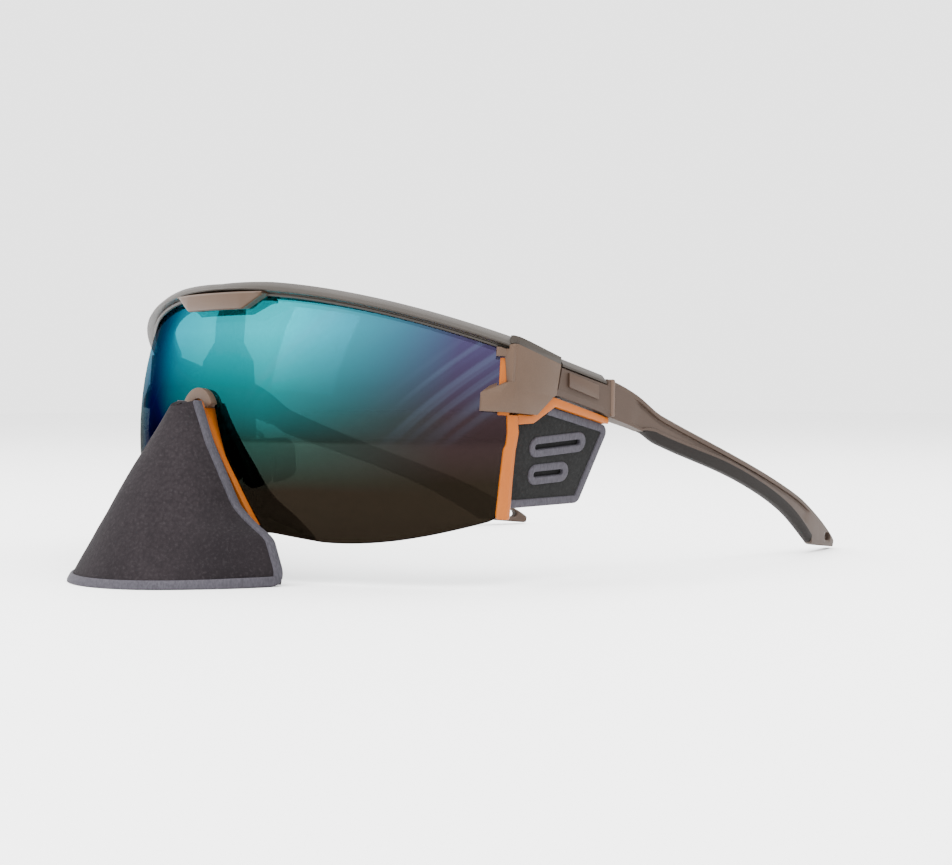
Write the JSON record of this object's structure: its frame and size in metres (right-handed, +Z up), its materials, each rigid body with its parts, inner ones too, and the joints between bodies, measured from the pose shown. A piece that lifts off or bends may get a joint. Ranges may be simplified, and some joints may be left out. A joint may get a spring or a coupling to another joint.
{
  "type": "glacier glasses",
  "caption": "Wraparound shield glacier glasses with folding temples, clip-on fabric side shields and a clip-on fabric nose cover.",
  "frame": {"origin": "middle of the footprint, on the surface the glasses stand on", "axes": "+Z up, +Y from the lens towards the temple tips, +X towards the wearer's left"},
  "size_m": [0.1444, 0.197, 0.0691],
  "materials": {
    "lens": "mirror-coated polycarbonate",
    "dark_frame": "satin grey-brown",
    "taupe_frame": "satin taupe",
    "soft_grip": "matt soft grip",
    "orange_clip": "satin orange",
    "cover_fabric": "suede-like knit",
    "shield_fabric": "suede-like knit",
    "binding": "sewn grey binding",
    "screw": "steel"
  },
  "bodies": {
    "front": {"lens": "lens", "brow_bar": "dark_frame", "brow_clip": "taupe_frame", "nose_bridge": "taupe_frame", "end_piece_left": "taupe_frame", "end_piece_right": "taupe_frame", "corner_cap_left": "dark_frame", "corner_cap_right": "dark_frame", "hinge_screw_left": "screw", "hinge_screw_right": "screw"},
    "arm_left": {"temple_left": "taupe_frame", "temple_grip_left": "soft_grip", "temple_top_left": "dark_frame", "temple_badge_left": "taupe_frame", "temple_ring_left": "taupe_frame"},
    "arm_right": {"temple_right": "taupe_frame", "temple_grip_right": "soft_grip", "temple_top_right": "dark_frame", "temple_badge_right": "taupe_frame", "temple_ring_right": "taupe_frame"},
    "shield_left": {"shield_clip_left": "orange_clip", "shield_panel_left": "shield_fabric", "shield_binding_left": "binding", "shield_vent_left": "binding"},
    "shield_right": {"shield_clip_right": "orange_clip", "shield_panel_right": "shield_fabric", "shield_binding_right": "binding", "shield_vent_right": "binding"},
    "pad_left": {"nose_pad_left": "soft_grip", "pad_wire_left": "screw"},
    "pad_right": {"nose_pad_right": "soft_grip", "pad_wire_right": "screw"},
    "beak": {"nose_clip": "orange_clip", "nose_cover": "cover_fabric", "nose_binding": "binding"}
  },
  "joints": [
    {"name": "temple_fold_left", "type": "hinge", "parent": "front", "child": "arm_left", "pos_m": [0.0666, -0.02137, 0.04624], "axis": [0, 0.2529, 0.9675], "range_deg": [0, 90]},
    {"name": "temple_fold_right", "type": "hinge", "parent": "front", "child": "arm_right", "pos_m": [-0.0666, -0.02137, 0.04624], "axis": [0, -0.2529, -0.9675], "range_deg": [0, 80]},
    {"name": "shield_slide_left", "type": "hinge", "parent": "front", "child": "shield_left", "pos_m": [0, 0.0234, 0.03129], "axis": [0.6494, 0.7581, -0.0597], "range_deg": [0, 9]},
    {"name": "shield_slide_right", "type": "hinge", "parent": "front", "child": "shield_right", "pos_m": [0, 0.0234, 0.03129], "axis": [0.6494, -0.7581, 0.0597], "range_deg": [0, 9]},
    {"name": "pad_tilt_left", "type": "hinge", "parent": "front", "child": "pad_left", "pos_m": [0.0084, -0.06207, 0.0338], "axis": [0, 0.9969, -0.0785], "range_deg": [-10, 10]},
    {"name": "pad_tilt_right", "type": "hinge", "parent": "front", "child": "pad_right", "pos_m": [-0.0084, -0.06207, 0.0338], "axis": [0, -0.9969, 0.0785], "range_deg": [-10, 10]},
    {"name": "nose_cover_slide", "type": "slide", "parent": "front", "child": "beak", "axis": [0, -1, 0], "range_m": [0, 0.025]}
  ]
}
